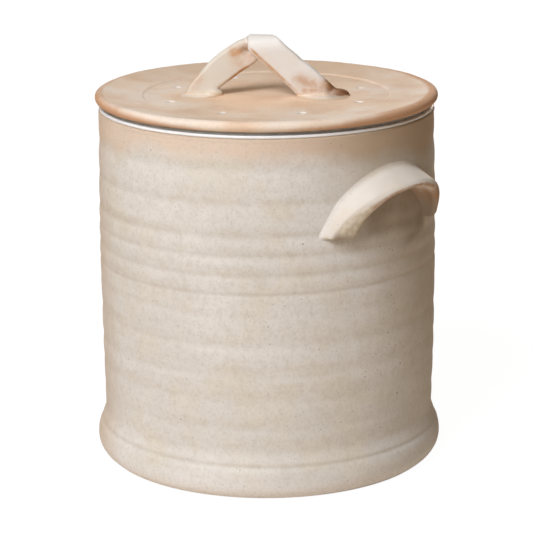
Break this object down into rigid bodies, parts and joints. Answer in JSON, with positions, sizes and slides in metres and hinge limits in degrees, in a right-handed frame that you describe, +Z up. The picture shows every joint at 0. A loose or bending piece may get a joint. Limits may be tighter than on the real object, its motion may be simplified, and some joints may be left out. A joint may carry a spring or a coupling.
{
  "type": "compost crock",
  "caption": "Hand-thrown stoneware countertop compost crock with lug handles, a loose vented lid with a folded strap, a lift-out plastic liner and a charcoal filter.",
  "frame": {"origin": "on the table under the centre of the foot", "axes": "+Z up through the lid; the two lug handles stand on the X axis; +Y is square to both"},
  "size_m": [0.2176, 0.1954, 0.2362],
  "materials": {
    "stoneware": "matte",
    "pale_clay": "matte",
    "toasted_clay": "matte",
    "white_plastic": "gloss",
    "grey_rubber": "matte",
    "charcoal_felt": "matte",
    "grey_plastic": "matte"
  },
  "bodies": {
    "crock": {"crock_body": "stoneware", "lug_right": "pale_clay", "lug_left": "pale_clay"},
    "liner": {"liner_bucket": "white_plastic"},
    "lid": {"lid_disc": "toasted_clay", "lid_strap": "pale_clay", "lid_gasket": "grey_rubber"},
    "filter": {"filter_pad": "charcoal_felt", "filter_retainer": "grey_plastic"}
  },
  "joints": [
    {"name": "liner_lift", "type": "slide", "parent": "crock", "child": "liner", "axis": [0, 0, 1], "range_m": [0, 0.2]},
    {"name": "lid_lift", "type": "slide", "parent": "liner", "child": "lid", "axis": [0, 0, 1], "range_m": [0, 0.12]},
    {"name": "filter_drop", "type": "slide", "parent": "lid", "child": "filter", "axis": [0, 0, -1], "range_m": [0, 0.03]}
  ]
}
